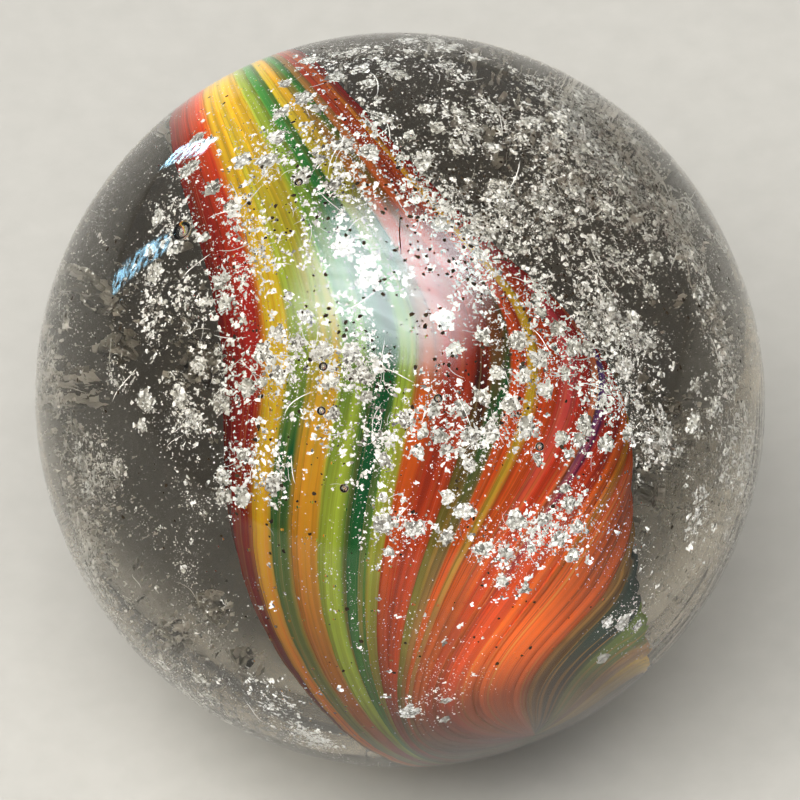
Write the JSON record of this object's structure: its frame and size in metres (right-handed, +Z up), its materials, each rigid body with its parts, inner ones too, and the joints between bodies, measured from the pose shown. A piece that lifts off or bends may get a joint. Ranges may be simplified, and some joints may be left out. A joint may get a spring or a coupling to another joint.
{
  "type": "glass marble",
  "caption": "Handmade clear glass ball with a flattened, twisted cane of fused colour strands from pole to pole and silvery mica flakes floating round it.",
  "frame": {"origin": "middle of the ball", "axes": "+Z up as the marble lies, +X to the right and -Y to the front; the cane's upper end points back, 25 degrees to the left and 30 degrees above level"},
  "size_m": [0.0248, 0.025, 0.025],
  "materials": {
    "clear_glass": "fire-polished clear glass with fine wear scratches and pits",
    "brick_glass": "opaque brick glass with fine drawn streaks",
    "oxblood_glass": "opaque oxblood glass with fine drawn streaks",
    "amber_glass": "opaque amber glass with fine drawn streaks",
    "bottle_green_glass": "opaque bottle green glass with fine drawn streaks",
    "marigold_glass": "opaque marigold glass with fine drawn streaks",
    "lime_glass": "opaque lime glass with fine drawn streaks",
    "leaf_green_glass": "opaque leaf green glass with fine drawn streaks",
    "olive_glass": "opaque olive glass with fine drawn streaks",
    "apricot_glass": "opaque apricot glass with fine drawn streaks",
    "scarlet_glass": "opaque scarlet glass with fine drawn streaks",
    "maroon_glass": "opaque maroon glass with fine drawn streaks",
    "forest_green_glass": "opaque forest green glass with fine drawn streaks",
    "flame_glass": "opaque flame glass with fine drawn streaks",
    "yellow_glass": "opaque yellow glass with fine drawn streaks",
    "vermilion_glass": "opaque vermilion glass with fine drawn streaks",
    "ruby_glass": "opaque ruby glass with fine drawn streaks",
    "cardinal_glass": "opaque cardinal glass with fine drawn streaks",
    "coral_glass": "opaque coral glass with fine drawn streaks",
    "violet_glass": "opaque violet glass with fine drawn streaks",
    "crimson_glass": "opaque crimson glass with fine drawn streaks",
    "orange_glass": "opaque orange glass with fine drawn streaks",
    "straw_glass": "opaque straw glass with fine drawn streaks",
    "persimmon_glass": "opaque persimmon glass with fine drawn streaks",
    "rust_glass": "opaque rust glass with fine drawn streaks",
    "honey_glass": "opaque honey glass with fine drawn streaks",
    "dark_teal_glass": "opaque dark teal glass with fine drawn streaks",
    "moss_glass": "opaque moss glass with fine drawn streaks",
    "copper_glass": "opaque copper glass with fine drawn streaks",
    "ochre_glass": "opaque ochre glass with fine drawn streaks",
    "cherry_glass": "opaque cherry glass with fine drawn streaks",
    "mica": "silvery mica, crinkled and glittering"
  },
  "bodies": {
    "root": {"clear_glass": "clear_glass", "brick_strand": "brick_glass", "oxblood_strand": "oxblood_glass", "amber_strand": "amber_glass", "bottle_green_strand": "bottle_green_glass", "marigold_strand": "marigold_glass", "lime_strand": "lime_glass", "leaf_green_strand": "leaf_green_glass", "olive_strand": "olive_glass", "apricot_strand": "apricot_glass", "scarlet_strand": "scarlet_glass", "maroon_strand": "maroon_glass", "forest_green_strand": "forest_green_glass", "flame_strand": "flame_glass", "yellow_strand": "yellow_glass", "vermilion_strand": "vermilion_glass", "ruby_strand": "ruby_glass", "cardinal_strand": "cardinal_glass", "coral_strand": "coral_glass", "violet_strand": "violet_glass", "crimson_strand": "crimson_glass", "orange_strand": "orange_glass", "straw_strand": "straw_glass", "persimmon_strand": "persimmon_glass", "rust_strand": "rust_glass", "honey_strand": "honey_glass", "dark_teal_strand": "dark_teal_glass", "moss_strand": "moss_glass", "copper_strand": "copper_glass", "ochre_strand": "ochre_glass", "cherry_strand": "cherry_glass", "mica_flakes": "mica"}
  },
  "joints": []
}
